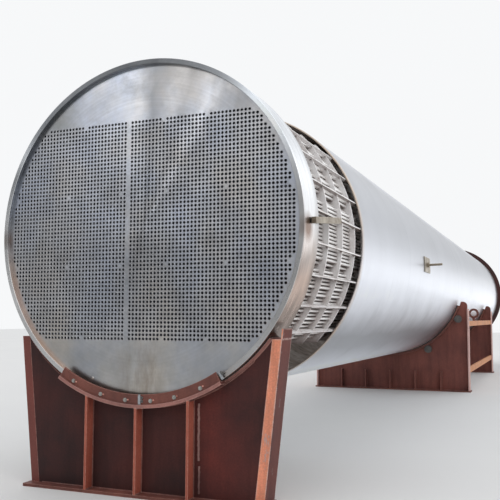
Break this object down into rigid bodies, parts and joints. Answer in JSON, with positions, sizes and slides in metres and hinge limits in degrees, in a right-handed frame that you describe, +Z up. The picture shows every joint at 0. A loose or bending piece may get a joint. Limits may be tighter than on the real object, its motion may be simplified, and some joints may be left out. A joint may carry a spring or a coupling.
{
  "type": "shell and tube heat exchanger with its bundle part way out of the shell, on a saddle and a cradle",
  "caption": "Long stainless shell and tube heat exchanger: drilled tubesheet, bundle with support plates and rails standing out of the shell, red primer saddle and cradle.",
  "frame": {"origin": "on the floor, at the middle of the length, under the shell axis", "axes": "+Y along the shell axis, away from the drilled front tubesheet; +X to the right seen from the front; +Z up"},
  "size_m": [3.1382, 18.488, 3.532],
  "materials": {
    "machined_stainless": "turned face with fine rings, bright at the rim",
    "brushed_stainless": "pickled and brushed sheet",
    "stainless_tube": "drawn tube, semi-bright",
    "stainless_plate": "plate with cut edges, dull",
    "flange_primer": "dark maroon primer",
    "tinted_steel": "bare steel with brown heat tint",
    "saddle_primer": "matt red-brown primer",
    "rubber_lining": "matt black sheet",
    "boss_steel": "dark grey paint"
  },
  "bodies": {
    "root": {"front_tubesheet": "machined_stainless", "rear_tubesheet": "machined_stainless", "shell": "brushed_stainless", "tube_bundle": "stainless_tube", "slide_rails_left": "stainless_plate", "slide_rails_right": "stainless_plate", "support_plate_1": "stainless_plate", "support_plate_2": "stainless_plate", "support_plate_3": "stainless_plate", "support_plate_4": "stainless_plate", "rear_flange": "flange_primer", "tie_bar_left": "tinted_steel", "tie_bar_right": "tinted_steel", "shell_bracket_left": "tinted_steel", "shell_bracket_right": "tinted_steel", "front_post_left": "saddle_primer", "front_post_right": "saddle_primer", "packing_tab": "saddle_primer", "front_saddle_web": "saddle_primer", "front_saddle_rear_web": "saddle_primer", "front_bearing_plate": "saddle_primer", "retaining_strip_left": "saddle_primer", "retaining_strip_right": "saddle_primer", "front_saddle_ribs": "saddle_primer", "front_saddle_base": "saddle_primer", "cradle_flanges_left": "saddle_primer", "cradle_flanges_right": "saddle_primer", "cradle_upper_beam_left": "saddle_primer", "cradle_upper_beam_right": "saddle_primer", "cradle_lower_beam_left": "saddle_primer", "cradle_lower_beam_right": "saddle_primer", "lifting_eyes": "saddle_primer", "cradle_front_plate": "saddle_primer", "cradle_front_bearing": "saddle_primer", "cradle_front_ribs": "saddle_primer", "cradle_front_base": "saddle_primer", "cradle_front_lining": "rubber_lining", "cradle_front_bosses": "boss_steel", "cradle_rear_plate": "saddle_primer", "cradle_rear_bearing": "saddle_primer", "cradle_rear_ribs": "saddle_primer", "cradle_rear_base": "saddle_primer", "cradle_rear_lining": "rubber_lining", "cradle_rear_bosses": "boss_steel", "front_lining": "rubber_lining"}
  },
  "joints": []
}
